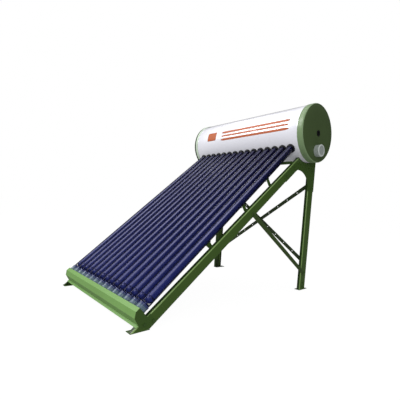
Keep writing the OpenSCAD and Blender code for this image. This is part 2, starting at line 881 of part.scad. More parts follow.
tank_shell();
end_cap_left();
end_cap_right();
tank_insulation();
inner_tank();
tube_seals();
dust_seals();
saddle_pads();
pipe_grommets();
cold_inlet();
hot_outlet();
overflow_pipe();
anode_rod();
electric_heater();
thermostat();
thermostat_dial();
cover_collar();
heater_cover();
sensor_grommet();
sensor_plug();
tail_cups();
tail_tray();
tray_end_left();
tray_end_right();
front_leg_left();
front_leg_right();
rear_leg_left();
rear_leg_right();
tank_bracket_left();
tank_bracket_right();
side_brace_left();
side_brace_right();
rear_brace_a();
rear_brace_b();
crossbar_1();
crossbar_2();
crossbar_3();
crossbar_4();
crossbar_brackets();
front_foot_left();
front_foot_right();
rear_foot_left();
rear_foot_right();
frame_bolts();
frame_nuts();
for (i = [1:tube_count])
    vacuum_tube(i);
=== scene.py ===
"""Looks for the solar water heater: materials and detailed pieces around the CAD frame."""
import json
import math

import bmesh
import bpy
from mathutils import Matrix, Vector


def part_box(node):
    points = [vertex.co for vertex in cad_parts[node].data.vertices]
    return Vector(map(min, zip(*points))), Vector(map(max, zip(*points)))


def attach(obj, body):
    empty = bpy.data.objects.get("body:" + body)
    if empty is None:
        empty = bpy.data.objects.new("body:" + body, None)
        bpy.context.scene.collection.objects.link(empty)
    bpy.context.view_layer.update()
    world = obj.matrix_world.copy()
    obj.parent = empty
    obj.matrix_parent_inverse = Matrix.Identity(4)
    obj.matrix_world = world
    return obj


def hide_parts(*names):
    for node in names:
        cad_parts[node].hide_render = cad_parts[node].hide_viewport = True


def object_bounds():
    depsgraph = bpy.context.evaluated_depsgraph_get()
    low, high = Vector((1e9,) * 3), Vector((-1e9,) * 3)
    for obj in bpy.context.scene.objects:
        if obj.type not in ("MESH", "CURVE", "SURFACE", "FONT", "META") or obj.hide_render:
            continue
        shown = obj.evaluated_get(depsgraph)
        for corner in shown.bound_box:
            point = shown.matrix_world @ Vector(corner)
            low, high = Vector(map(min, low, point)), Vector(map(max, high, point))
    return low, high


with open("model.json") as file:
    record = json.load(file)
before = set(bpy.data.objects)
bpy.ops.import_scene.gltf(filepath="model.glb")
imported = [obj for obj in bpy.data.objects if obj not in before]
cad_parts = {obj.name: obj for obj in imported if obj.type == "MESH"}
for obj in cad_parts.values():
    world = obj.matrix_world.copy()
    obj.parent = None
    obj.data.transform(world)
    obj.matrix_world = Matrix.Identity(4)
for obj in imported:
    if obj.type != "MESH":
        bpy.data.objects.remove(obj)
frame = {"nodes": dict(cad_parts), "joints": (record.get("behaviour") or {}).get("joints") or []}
cad_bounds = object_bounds()
nodes = frame["nodes"]
ROOT = "stand_and_tank"
MM = 0.001
TUBES = sorted(n for n in nodes if n.startswith("vacuum_tube_"))

# ---------- where the CAD puts things ----------

shell_lo, shell_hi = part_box("tank_shell")
AXIS_Y = (shell_lo.y + shell_hi.y) / 2
AXIS_Z = (shell_lo.z + shell_hi.z) / 2
cap_lo, cap_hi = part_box("end_cap_right")
CAP_R = (cap_hi.y - cap_lo.y) / 2
FACE_X = cap_hi.x
CAP_DEPTH = cap_hi.x - cap_lo.x
SHELL_R = (shell_hi.y - shell_lo.y) / 2
cover_lo, cover_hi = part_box("heater_cover")
COVER_R = (cover_hi.y - cover_lo.y) / 2
COVER_LEN = cover_hi.x - cover_lo.x
COVER_Z = (cover_lo.z + cover_hi.z) / 2

slides = {j["child"]: j for j in frame["joints"]}
TUBE_DIR = Vector(slides["tube_01"]["axis"]).normalized()


def tube_mouth(node):
    """The centre of a tube's upper end, from the tube's box."""
    lo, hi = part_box(node)
    r = (hi.x - lo.x) / 2
    return Vector(((lo.x + hi.x) / 2, hi.y - r * TUBE_DIR.z, hi.z - r * TUBE_DIR.y))


first_lo, first_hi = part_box(TUBES[0])
TUBE_R = (first_hi.x - first_lo.x) / 2
TUBE_LEN = 1800 * MM


def tube_frame(node):
    """Local +Z runs up the tube from its lower tip."""
    tip = tube_mouth(node) - TUBE_DIR * TUBE_LEN
    z, x = TUBE_DIR, Vector((1, 0, 0))
    y = z.cross(x)
    return Matrix.Translation(tip) @ Matrix((x, y, z)).transposed().to_4x4()


TIP_ALONG = tube_frame(TUBES[0]).translation.dot(TUBE_DIR)


def end_frame(x, y, z, side=1):
    """Local +Z runs out of the tank's end, along +X or -X."""
    turn = Matrix.Rotation(math.radians(90 * side), 4, "Y")
    return Matrix.Translation((x, y, z)) @ turn


# ---------- meshes ----------

def lathe(bm, profile, place, segments=64, closed=False, wobble=None):
    """Turns (radius, height) points in mm about local Z. wobble(angle, k) scales a ring's
    radius at an angle."""
    rings = []
    for k, (r, h) in enumerate(profile):
        if r < 1e-6:
            rings.append([bm.verts.new(place @ Vector((0, 0, h * MM)))])
            continue
        ring = []
        for s in range(segments):
            a = 2 * math.pi * s / segments
            rr = r * (wobble(a, k) if wobble else 1) * MM
            ring.append(bm.verts.new(
                place @ Vector((rr * math.cos(a), rr * math.sin(a), h * MM))))
        rings.append(ring)
    pairs = list(zip(rings, rings[1:]))
    if closed:
        pairs.append((rings[-1], rings[0]))
    for lower, upper in pairs:
        for s in range(segments):
            t = (s + 1) % segments
            corners = [lower[s % len(lower)], lower[t % len(lower)],
                       upper[t % len(upper)], upper[s % len(upper)]]
            unique = list(dict.fromkeys(corners))
            if len(unique) > 2:
                bm.faces.new(unique)


def arc(cx, cy, r, start, stop, steps):
    """Points on an arc, angles in degrees."""
    out = []
    for k in range(steps + 1):
        a = math.radians(start + (stop - start) * k / steps)
        out.append((cx + r * math.cos(a), cy + r * math.sin(a)))
    return out


def bridge(bm, rings):
    """Joins closed rings of the same length into a bar with capped ends."""
    for one, two in zip(rings, rings[1:]):
        for k in range(len(one)):
            j = (k + 1) % len(one)
            bm.faces.new([one[k], one[j], two[j], two[k]])
    bm.faces.new(rings[0])
    bm.faces.new(rings[-1][::-1])


def finish_mesh(name, bm, material, sharp=35):
    bmesh.ops.remove_doubles(bm, verts=bm.verts, dist=1e-7)
    bmesh.ops.recalc_face_normals(bm, faces=bm.faces)
    mesh = bpy.data.meshes.new(name)
    bm.to_mesh(mesh)
    bm.free()
    smooth(mesh, sharp)
    mesh.materials.append(material)
    return mesh


def smooth(mesh, sharp=35):
    mesh.polygons.foreach_set("use_smooth", [True] * len(mesh.polygons))
    mesh.set_sharp_from_angle(angle=math.radians(sharp))


def place_piece(name, mesh, body, replaced=(), location=(0, 0, 0)):
    obj = bpy.data.objects.new(name, mesh)
    bpy.context.scene.collection.objects.link(obj)
    obj.location = location
    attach(obj, body)
    if replaced:
        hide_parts(*replaced)
    return obj


# ---------- materials ----------

def srgb(r, g, b):
    """8-bit sRGB to linear."""
    def one(c):
        c /= 255
        return c / 12.92 if c <= 0.04045 else ((c + 0.055) / 1.055) ** 2.4
    return (one(r), one(g), one(b), 1.0)


class Surface:
    """A procedural Principled material, built up step by step in object space."""

    def __init__(self, name, color, rough, metal=0.0, coat=0.0, specular=0.5):
        self.mat = bpy.data.materials.new(name)
        self.mat.use_nodes = True
        self.tree = self.mat.node_tree
        self.bsdf = self.tree.nodes["Principled BSDF"]
        self.color = color
        self.rough = rough
        self.coord = self.node("ShaderNodeTexCoord").outputs["Object"]
        self.bsdf.inputs["Base Color"].default_value = color
        self.bsdf.inputs["Roughness"].default_value = rough
        self.bsdf.inputs["Metallic"].default_value = metal
        self.bsdf.inputs["Coat Weight"].default_value = coat
        self.bsdf.inputs["Coat Roughness"].default_value = 0.08
        self.bsdf.inputs["Specular IOR Level"].default_value = specular
        self.base = None

    def node(self, kind, **values):
        n = self.tree.nodes.new(kind)
        for key, value in values.items():
            setattr(n, key, value)
        return n

    def link(self, a, b):
        self.tree.links.new(a, b)

    def noise(self, scale, detail, stretch=(1, 1, 1)):
        mapping = self.node("ShaderNodeMapping")
        mapping.inputs["Scale"].default_value = stretch
        self.link(self.coord, mapping.inputs["Vector"])
        n = self.node("ShaderNodeTexNoise")
        n.inputs["Scale"].default_value = scale
        n.inputs["Detail"].default_value = detail
        self.link(mapping.outputs["Vector"], n.inputs["Vector"])
        return n.outputs["Fac"]

    def spread(self, source, lo, hi, from_lo=0.35, from_hi=0.65):
        """Maps from_lo..from_hi to lo..hi. The default suits a noise texture's middle."""
        m = self.node("ShaderNodeMapRange")
        m.inputs["From Min"].default_value = from_lo
        m.inputs["From Max"].default_value = from_hi
        m.inputs["To Min"].default_value = lo
        m.inputs["To Max"].default_value = hi
        self.link(source, m.inputs["Value"])
        return m.outputs["Result"]

    def mix(self, factor, color):
        """Mixes a colour over the base by a 0..1 output."""
        m = self.node("ShaderNodeMix", data_type="RGBA")
        self.link(factor, m.inputs["Factor"])
        if self.base is None:
            m.inputs["A"].default_value = self.color
        else:
            self.link(self.base, m.inputs["A"])
        m.inputs["B"].default_value = color
        self.base = m.outputs["Result"]
        self.link(self.base, self.bsdf.inputs["Base Color"])
        return self

    def vary(self, scale, amount, darker):
        """Soft patches of a darker shade."""
        shade = tuple(c * darker for c in self.color[:3]) + (1,)
        return self.mix(self.spread(self.noise(scale, 4), 0, amount), shade)

    def gloss(self, scale, spread, stretch=(1, 1, 1)):
        """Roughness that wanders a little around its mean."""
        out = self.spread(self.noise(scale, 3, stretch), self.rough - spread,
                          self.rough + spread)
        self.link(out, self.bsdf.inputs["Roughness"])
        return self

    def bump(self, scale, distance, strength, detail=2.0):
        """Fine unevenness, distance in metres."""
        b = self.node("ShaderNodeBump")
        b.inputs["Strength"].default_value = strength
        b.inputs["Distance"].default_value = distance
        self.link(self.noise(scale, detail), b.inputs["Height"])
        self.link(b.outputs["Normal"], self.bsdf.inputs["Normal"])
        return self

    def facing(self, direction):
        """How far the surface faces a fixed direction: 1 is straight at it."""
        geometry = self.node("ShaderNodeNewGeometry")
        dot = self.node("ShaderNodeVectorMath", operation="DOT_PRODUCT")
        self.link(geometry.outputs["Normal"], dot.inputs[0])
        dot.inputs[1].default_value = direction
        return dot.outputs["Value"]

    def product(self, a, b):
        m = self.node("ShaderNodeMath", operation="MULTIPLY")
        self.link(a, m.inputs[0])
        self.link(b, m.inputs[1])
        return m.outputs["Value"]

    def along_tube(self):
        """The distance up the tubes' axis."""
        dot = self.node("ShaderNodeVectorMath", operation="DOT_PRODUCT")
        dot.inputs[1].default_value = TUBE_DIR
        self.link(self.coord, dot.inputs[0])
        return dot.outputs["Value"]

    def worn_and_highlighted_edges(self, color, radius=0.0015, amount=0.6):
        """A lighter tone along edges: partly wear where the paint is thin, partly a painted
        highlight.
        """
        bevel = self.node("ShaderNodeBevel", samples=4)
        bevel.inputs["Radius"].default_value = radius
        geometry = self.node("ShaderNodeNewGeometry")
        dot = self.node("ShaderNodeVectorMath", operation="DOT_PRODUCT")
        self.link(bevel.outputs["Normal"], dot.inputs[0])
        self.link(geometry.outputs["Normal"], dot.inputs[1])
        return self.mix(self.spread(dot.outputs["Value"], amount, 0, 0.75, 0.97), color)

    def paint_highlight_strip(self, towards, color, lo, hi, strength):
        """Paints a highlight: lightens the strip of a round bar that faces one fixed direction.
        """
        strip = self.spread(self.facing(towards), 0, 1, lo, hi)
        return self.mix(self.product(strip, strength), color)

    def paint_flange_shade_and_bend_highlight(self, flange, dark, light):
        """Paints shade on a leg's flange, darker, and a highlight along its outer bend, lighter.
        """
        facing = self.facing(flange)
        self.mix(self.spread(facing, 0, 0.8, 0.8, 1.0), dark)
        geometry = self.node("ShaderNodeNewGeometry")
        split = self.node("ShaderNodeSeparateXYZ")
        self.link(geometry.outputs["Normal"], split.inputs["Vector"])
        side = self.node("ShaderNodeMath", operation="ABSOLUTE")
        self.link(split.outputs["X"], side.inputs[0])
        bend = self.product(side.outputs["Value"], facing)
        return self.mix(self.spread(bend, 0, 0.85, 0.12, 0.4), light)


def paint(name, color, edge, rough=0.42):
    return (Surface(name, color, rough, specular=0.25)
            # Edges lightened: partly wear, partly a painted highlight.
            .vary(4.0, 0.35, 0.82).worn_and_highlighted_edges(edge).gloss(60, 0.07)
            .bump(900, 0.0002, 0.25).mat)


def leg_paint(name, flange):
    # Painted shade: the leg green is a darker copy of the tray's green.
    return (Surface(name, srgb(62, 88, 34), 0.24, specular=0.35)
            # Painted shade on the flange and a painted highlight along the bend.
            .vary(4.0, 0.35, 0.82).paint_flange_shade_and_bend_highlight(flange, srgb(34, 52, 22), srgb(132, 162, 96))
            .gloss(60, 0.04).bump(900, 0.0001, 0.2).mat)


LEG_TILT = math.radians(38.2)
front_leg_paint = leg_paint("front_leg_paint", (0, -math.sin(LEG_TILT), math.cos(LEG_TILT)))
rear_leg_paint = leg_paint("rear_leg_paint", (0, -1, 0))
# Painted shade: the frame, strut and brace greens are darker copies of the tray's green.
green_paint = paint("green_paint", srgb(58, 84, 34), srgb(116, 146, 84), 0.3)
tray_paint = paint("tray_paint", srgb(118, 160, 88), srgb(185, 210, 160))
strut_paint = paint("strut_paint", srgb(56, 70, 44), srgb(100, 120, 85))
brace_paint = paint("brace_paint", srgb(62, 82, 40), srgb(110, 130, 85))
bolt_paint = (Surface("bolt_paint", srgb(58, 84, 38), 0.4, specular=0.3)
              .vary(120.0, 0.5, 0.7).gloss(150, 0.1).bump(900, 0.0001, 0.3).mat)
cap_rim = (Surface("cap_rim", srgb(118, 142, 102), 0.36, specular=0.4)
           .vary(5.0, 0.3, 0.85).gloss(50, 0.05).bump(500, 0.0002, 0.15).mat)
# Painted highlight: a pale copy of the cap green for the left cap's rim.
cap_rim_painted_highlight = (Surface("cap_rim_painted_highlight", srgb(204, 220, 200), 0.36, specular=0.4)
                .vary(5.0, 0.3, 0.85).gloss(50, 0.05).bump(500, 0.0002, 0.15).mat)
# Painted shade: a dark copy of the cap green for the left cap's outer edge.
cap_edge_painted_shade = (Surface("cap_edge_painted_shade", srgb(66, 80, 60), 0.45, specular=0.2)
            .vary(5.0, 0.3, 0.85).gloss(50, 0.05).bump(500, 0.0002, 0.15).mat)
# Painted shade: the cap's face is a darker copy of the rim's green.
cap_face_painted_shade = (Surface("cap_face_painted_shade", srgb(68, 86, 50), 0.4, specular=0.2)
            .vary(6.0, 0.35, 0.82).gloss(50, 0.05).bump(500, 0.0002, 0.2).mat)
shell_paint = (Surface("shell_enamel", srgb(230, 230, 238), 0.32, coat=1.0)
               .vary(3.0, 0.25, 0.95).gloss(20, 0.05).bump(60, 0.0006, 0.05).mat)
stripe_paint = (Surface("stripe_film", srgb(176, 86, 36), 0.4, specular=0.2)
                .vary(20.0, 0.3, 0.85).gloss(60, 0.05).bump(800, 0.0001, 0.1).mat)
rubber = (Surface("black_rubber", srgb(17, 17, 21), 0.5, specular=0.3)
          .vary(60.0, 0.4, 0.6).gloss(90, 0.1).bump(1200, 0.0002, 0.3).mat)
foam = (Surface("foam", srgb(232, 218, 170), 0.9)
        .vary(40.0, 0.5, 0.8).bump(350, 0.001, 0.6, 4).mat)
stainless = (Surface("stainless", srgb(190, 192, 196), 0.3, metal=1.0)
             .vary(3.0, 0.3, 0.8).gloss(25, 0.08, (1, 12, 12)).bump(300, 0.0001, 0.2).mat)
brass = (Surface("brass", srgb(196, 158, 84), 0.32, metal=1.0)
         .vary(30.0, 0.4, 0.75).gloss(60, 0.1).bump(400, 0.0001, 0.15).mat)
black_plastic = (Surface("black_plastic", srgb(16, 18, 16), 0.55, specular=0.2)
                 .vary(50.0, 0.3, 0.8).gloss(80, 0.06).bump(900, 0.0002, 0.25).mat)
dial_plastic = (Surface("dial_plastic", srgb(185, 40, 28), 0.35)
                .vary(50.0, 0.3, 0.8).gloss(80, 0.06).bump(900, 0.0002, 0.2).mat)
cover_plastic = (Surface("cover_plastic", srgb(158, 166, 162), 0.3, coat=0.2)
                 .vary(45.0, 0.6, 0.72).gloss(60, 0.06).bump(700, 0.0002, 0.15).mat)
# Painted highlight: a lighter copy of the cover plastic for the rolled edge round its face.
cover_edge_painted_highlight = (Surface("cover_edge_painted_highlight", srgb(192, 198, 196), 0.22, coat=0.4)
              .vary(40.0, 0.3, 0.85).gloss(60, 0.05).bump(700, 0.0002, 0.1).mat)
clip_steel = (Surface("clip_steel", srgb(62, 66, 118), 0.45, metal=0.8)
              .vary(150.0, 0.4, 0.8).gloss(150, 0.08).bump(600, 0.0001, 0.2).mat)
getter = (Surface("getter_mirror", srgb(64, 70, 120), 0.35, metal=0.8)
          .vary(70.0, 0.6, 0.55).gloss(60, 0.06).bump(200, 0.0001, 0.1).mat)


def cup_material():
    """Pale base, with the clear lip taking the tube's blue."""
    s = Surface("cup_plastic", srgb(92, 112, 128), 0.35, specular=0.3)
    s.bsdf.inputs["Alpha"].default_value = 0.9
    s.vary(20.0, 0.4, 0.8)
    s.mix(s.spread(s.along_tube(), 0, 0.9, TIP_ALONG + 5 * MM, TIP_ALONG + 16 * MM),
          srgb(44, 52, 104))
    s.gloss(30, 0.04).bump(600, 0.0001, 0.05)
    s.bsdf.inputs["Subsurface Weight"].default_value = 0.25
    s.bsdf.inputs["Subsurface Radius"].default_value = (0.004, 0.004, 0.005)
    return s.mat


# Where the tubes' painted highlight goes: the side of a tube that faces the sky, a little
# towards the heater's end.
LEAN = math.radians(25)
PAINTED_HIGHLIGHT_SIDE = Vector((math.sin(LEAN), TUBE_DIR.z * -math.cos(LEAN),
                   TUBE_DIR.y * math.cos(LEAN)))


def absorber_material():
    """Dark blue selective coating, with painted shade: nearly black high up, bluer towards the
    lower end.
    """
    s = Surface("absorber_coating", srgb(15, 15, 56), 0.4, specular=0.2)
    s.bsdf.inputs["Specular Tint"].default_value = (0.5, 0.5, 1.0, 1)
    s.vary(6.0, 0.5, 0.6)
    # Painted shade: the blue darkens from the lower end up the tube.
    s.mix(s.spread(s.along_tube(), 1, 0, TIP_ALONG, TIP_ALONG + TUBE_LEN * 0.9),
          srgb(50, 60, 138))
    # Painted highlight: a lavender strip along the sky side, fainter towards the lower end.
    s.paint_highlight_strip(PAINTED_HIGHLIGHT_SIDE, srgb(164, 165, 208), 0.95, 0.992,
             s.spread(s.along_tube(), 0.4, 1, TIP_ALONG, TIP_ALONG + TUBE_LEN * 0.4))
    s.gloss(4, 0.03)
    s.bump(9, 0.0004, 0.1, 1)
    return s.mat


def glass_material():
    """Clear outer wall: almost unseen face on, dark towards its rim."""
    s = Surface("tube_glass", srgb(10, 10, 38), 0.25, specular=0.1)
    s.bsdf.inputs["Specular Tint"].default_value = (0.6, 0.6, 1.0, 1)
    s.gloss(4, 0.02)
    s.vary(5, 0.3, 0.7)
    weight = s.node("ShaderNodeLayerWeight")
    weight.inputs["Blend"].default_value = 0.45
    s.link(s.spread(weight.outputs["Facing"], 0.15, 0.95, 0.2, 0.85),
           s.bsdf.inputs["Alpha"])
    return s.mat


cup_plastic = cup_material()
absorber_coating = absorber_material()
tube_glass = glass_material()

# ---------- CAD nodes that keep their shape ----------

LOOKS = {
    "tank_shell": shell_paint, "tank_insulation": foam, "inner_tank": stainless,
    "tube_seals": rubber, "dust_seals": rubber, "saddle_pads": rubber,
    "pipe_grommets": rubber, "sensor_grommet": rubber,
    "cold_inlet": stainless, "hot_outlet": stainless, "overflow_pipe": stainless,
    "anode_rod": brass, "electric_heater": brass, "thermostat": black_plastic,
    "thermostat_dial": dial_plastic, "sensor_plug": black_plastic,
    "cover_collar": cap_face_painted_shade, "end_cap_left": cap_face_painted_shade, "end_cap_right": cap_face_painted_shade,
    "heater_cover": cover_plastic, "tail_cups": cup_plastic, "tail_tray": tray_paint,
    "rear_brace_a": strut_paint, "rear_brace_b": strut_paint,
    "rear_foot_left": strut_paint, "rear_foot_right": strut_paint,
    "side_brace_left": brace_paint, "side_brace_right": brace_paint,
    "front_leg_left": front_leg_paint, "front_leg_right": front_leg_paint,
    "rear_leg_left": rear_leg_paint, "rear_leg_right": rear_leg_paint,
    "frame_bolts": bolt_paint, "frame_nuts": bolt_paint,
}
for name, obj in nodes.items():
    obj.data.materials.clear()
    obj.data.materials.append(
        tube_glass if name in TUBES else LOOKS.get(name, green_paint))

# ---------- vacuum tubes ----------

JACKET_T = 1.8
INNER_R = 23.5


def tube_meshes(place):
    r = TUBE_R / MM
    length = TUBE_LEN / MM
    nub = [(0, 0)] + arc(0, 4, 4, -60, 0, 4) + [(4, 6), (5.2, 7.6)]
    dome = arc(0, r + 8, r, -78, 0, 14)
    inside = arc(0, r + 8, r - JACKET_T, 0, -90, 14)
    bm = bmesh.new()
    lathe(bm, nub + dome + [(r, length - 3), (r - 1, length - 0.6), (r - 2, length),
                            (INNER_R + 0.4, length), (r - JACKET_T, length - 4)]
          + [(r - JACKET_T, length * k) for k in (0.75, 0.5, 0.25)] + inside[:-1]
          + [(0, 8 + JACKET_T)], place, 56)
    jacket = finish_mesh("glass_jacket", bm, tube_glass, 60)

    bm = bmesh.new()
    wall = 1.6
    inner = INNER_R
    lathe(bm, [(0, 60 - inner)] + arc(0, 60, inner, -80, 0, 10)
          + [(inner, length - 0.3), (inner - wall, length - 0.3)]
          + arc(0, 60, inner - wall, 0, -80, 8) + [(0, 60 - inner + wall)], place, 56)
    absorber = finish_mesh("absorber", bm, absorber_coating, 60)

    bm = bmesh.new()
    film_r = r - JACKET_T - 0.15
    film = arc(0, r + 8, film_r, -62, -8, 10)
    film_back = arc(0, r + 8, film_r - 0.25, -8, -62, 10)
    lathe(bm, film + film_back, place, 48, closed=True)
    mirror = finish_mesh("getter", bm, getter, 60)

    bm = bmesh.new()
    band = [(inner + 0.15, 66), (inner + 0.6, 66), (inner + 1.4, 68), (inner + 1.4, 74),
            (inner + 0.6, 76), (inner + 0.15, 76)]
    lathe(bm, band, place, 48, closed=True)
    clip_petals(bm, place, inner)
    clip = finish_mesh("support_clip", bm, clip_steel, 40)
    return jacket, absorber, mirror, clip


def clip_petals(bm, place, inner):
    """Three spring leaves that reach from the inner tube to the outer wall."""
    half, leaf_t = 4, 0.4
    for k in range(3):
        turn = place @ Matrix.Rotation(math.radians(120 * k + 30), 4, "Z")
        rows = []
        for j in range(7):
            t = j / 6
            out = inner + 0.8 + 2.6 * math.sin(math.pi * t)
            rows.append((out, 60 - 24 * t))
        corners = [(0, -half), (0, half), (-leaf_t, half), (-leaf_t, -half)]
        rings = [[bm.verts.new(turn @ Vector(((out + dx) * MM, y * MM, h * MM)))
                  for dx, y in corners] for out, h in rows]
        bridge(bm, rings)


def build_tubes():
    first = tube_frame(TUBES[0])
    meshes = tube_meshes(first)
    for node in TUBES:
        number = node[-2:]
        shift = tube_frame(node).translation - first.translation
        body = f"tube_{number}"
        for mesh in meshes:
            place_piece(f"{mesh.name}_{number}", mesh, body,
                        (node,), shift)


def build_cups():
    profile = ([(0, -22), (16.5, -22), (18, -20.5), (18, -18), (17.4, -17.5), (15, -17.5),
                (15, -12), (30.5, -12), (31.5, -11), (31.5, -7), (30.4, -6), (30.4, 12),
                (31.5, 13.5), (31.5, 22.8), (30.6, 24), (27.2, 24)]
               + [(math.sqrt(29.4 ** 2 - (37 - h) ** 2), h) for h in (23.4, 20, 16, 12, 9.6)]
               + [(6, 8.4), (6, -5.6), (5.4, -6), (0, -6)])
    bm = bmesh.new()
    for node in TUBES:
        lathe(bm, profile, tube_frame(node), 48)
    mesh = finish_mesh("tail_cup_row", bm, cup_plastic, 35)
    place_piece("tail_cup_row", mesh, ROOT, ("tail_cups",))


def cut_round(obj, place, radius, depth):
    """Bores a round hole through a piece, square to place's local Z."""
    bm = bmesh.new()
    bmesh.ops.create_cone(bm, cap_ends=True, segments=96, radius1=radius, radius2=radius,
                          depth=depth, matrix=place)
    mesh = bpy.data.meshes.new("cutter")
    bm.to_mesh(mesh)
    bm.free()
    cutter = bpy.data.objects.new("cutter", mesh)
    bpy.context.scene.collection.objects.link(cutter)
    mod = obj.modifiers.new("bore", "BOOLEAN")
    mod.operation = "DIFFERENCE"
    mod.solver = "EXACT"
    mod.object = cutter
    bpy.context.view_layer.update()
    made = bpy.data.meshes.new_from_object(
        obj.evaluated_get(bpy.context.evaluated_depsgraph_get()))
    obj.modifiers.clear()
    obj.data = made
    bpy.data.objects.remove(cutter)
    smooth(made)


def build_cap(side, node):
    """A pressed rim with a rolled edge and a bead, and a face with a shallow dish. The
    materials are the rim's, then the face's, then the outer edge's. The face takes painted
    shade; on the left cap the rim takes a painted highlight and the outer edge painted shade."""
    r = CAP_R / MM
    depth = CAP_DEPTH / MM
    x = side * (FACE_X - CAP_DEPTH)
    outer = ([(r - 2.2, 0), (r - 0.8, 0.3), (r, 1.4), (r, 7), (r - 1.2, 8.6), (r - 1.2, 12),
              (r, 13.6), (r, depth * 0.48), (r, depth - 11)]
             + arc(r - 11, depth - 11, 11, 0, 62, 8))
    face = [(r - 8.5, depth - 1.6), (r - 11, depth - 2.6), (r - 14, depth - 2.2),
            (r - 17, depth - 0.6), (r - 20, depth), (150, depth), (40, depth), (0, depth)]
    back = [(0, depth - 2.5), (r - 22, depth - 2.5)] + arc(
        r - 11, depth - 11, 8.5, 62, 0, 5) + [(r - 2.5, depth - 11), (r - 2.5, 0.4)]
    bm = bmesh.new()
    lathe(bm, outer + face + back, end_frame(x, AXIS_Y, AXIS_Z, side), 192)
    mesh = finish_mesh(node + "_pressed", bm, cap_rim if side > 0 else cap_rim_painted_highlight)
    mesh.materials.append(cap_face_painted_shade)
    mesh.materials.append(cap_rim if side > 0 else cap_edge_painted_shade)
    dish_depth, roll_width, edge_from = 2.9 * MM, 6.5 * MM, FACE_X - CAP_DEPTH * 0.52
    for polygon in mesh.polygons:
        centre = polygon.center
        off = math.hypot(centre.y - AXIS_Y, centre.z - AXIS_Z)
        if abs(centre.x) > FACE_X - dish_depth and off < CAP_R - roll_width:
            polygon.material_index = 1
        elif abs(centre.x) > edge_from:
            polygon.material_index = 2
    return place_piece(node + "_pressed", mesh, ROOT, (node,))


def build_caps():
    build_cap(-1, "end_cap_left")
    right = build_cap(1, "end_cap_right")
    turn = Matrix.Rotation(math.radians(90), 4, "Y")
    collar_lo, collar_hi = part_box("cover_collar")
    port_r = (collar_hi.y - collar_lo.y) / 2 - 5.4 * MM
    sensor_r = 20 * MM
    for z, radius in ((AXIS_Z, sensor_r), (COVER_Z, port_r)):
        cut_round(right, Matrix.Translation((FACE_X, AXIS_Y, z)) @ turn, radius, 30 * MM)


def build_cover():
    """A moulded cap with a ribbed grip, a rolled edge and a dished face. The rolled edge takes a
    painted highlight.
    """
    r = COVER_R / MM
    depth = COVER_LEN / MM

    def grip(angle, k):
        return 1 - 0.012 * (0.5 + 0.5 * math.cos(36 * angle)) if 3 <= k <= 6 else 1

    outer = ([(r - 2.5, 0), (r - 0.6, 0), (r, 0.6), (r, 6), (r, 7.5), (r, depth - 16),
              (r, depth - 14.5), (r, depth - 7)]
             + arc(r - 6, depth - 6, 6, 5, 85, 7)
             + [(r - 9, depth - 0.4), (r - 11, depth - 2.4), (r - 14, depth - 3.2),
                (20, depth - 2.2), (6, depth - 2), (0, depth - 2)])
    inner = [(0, depth - 4.5), (20, depth - 4.7), (r - 12, depth - 5.6),
             (r - 6, depth - 3.6), (r - 3, depth - 7), (r - 2.5, depth - 10)]
    bm = bmesh.new()
    lathe(bm, outer + inner, end_frame(FACE_X, AXIS_Y, COVER_Z), 144, closed=True,
          wobble=grip)
    mesh = finish_mesh("heater_cover_cap", bm, cover_plastic)
    mesh.materials.append(cover_edge_painted_highlight)
    for polygon in mesh.polygons:
        centre = polygon.center
        off = math.hypot(centre.y - AXIS_Y, centre.z - COVER_Z)
        if centre.x > FACE_X + (depth - 7) * MM and off > (r - 10.5) * MM:
            polygon.material_index = 1
    place_piece("heater_cover_cap", mesh, "heater_cover",
                ("heater_cover",))


def build_shell():
    """The rolled sheet between the caps, with its lock seam along the underside."""
    r = SHELL_R / MM
    half = (shell_hi.x - shell_lo.x) / 2 / MM
    edge = CAP_DEPTH / MM - 10
    profile = [(r - 1, -half), (r, -half), (r, edge + 2 - half), (r - 0.9, edge + 6 - half),
               (r, edge + 10 - half)]
    steps = 12
    for k in range(1, steps):
        profile.append((r, (edge + 10 - half) * (1 - 2 * k / steps)))
    profile += [(r, half - edge - 10), (r - 0.9, half - edge - 6), (r, half - edge - 2),
                (r, half), (r - 1, half)]
    bm = bmesh.new()
    lathe(bm, profile, end_frame(0, AXIS_Y, AXIS_Z), 256, closed=True)
    mesh = finish_mesh("shell_sheet", bm, shell_paint)
    place_piece("shell_sheet", mesh, ROOT, ("tank_shell",))

    bm = bmesh.new()
    angle = math.radians(-58)
    across, out = 5.0, 1.6
    rows = [(-across, 0.0), (-across * 0.8, out * 0.7), (-across * 0.4, out),
            (across * 0.5, out), (across * 0.9, out * 0.6), (across, 0.0)]
    ends = (-half + CAP_DEPTH / MM - 6, half - CAP_DEPTH / MM + 6)
    rings = []
    for x in [ends[0] + (ends[1] - ends[0]) * k / 24 for k in range(25)]:
        ring = []
        for t, h in rows:
            a = angle + t / r
            rr = (r - 0.05 + h) * MM
            ring.append(bm.verts.new((x * MM, AXIS_Y + rr * math.cos(a),
                                      AXIS_Z + rr * math.sin(a))))
        rings.append(ring)
    bridge(bm, rings)
    mesh = finish_mesh("shell_seam", bm, shell_paint)
    place_piece("shell_seam", mesh, ROOT)


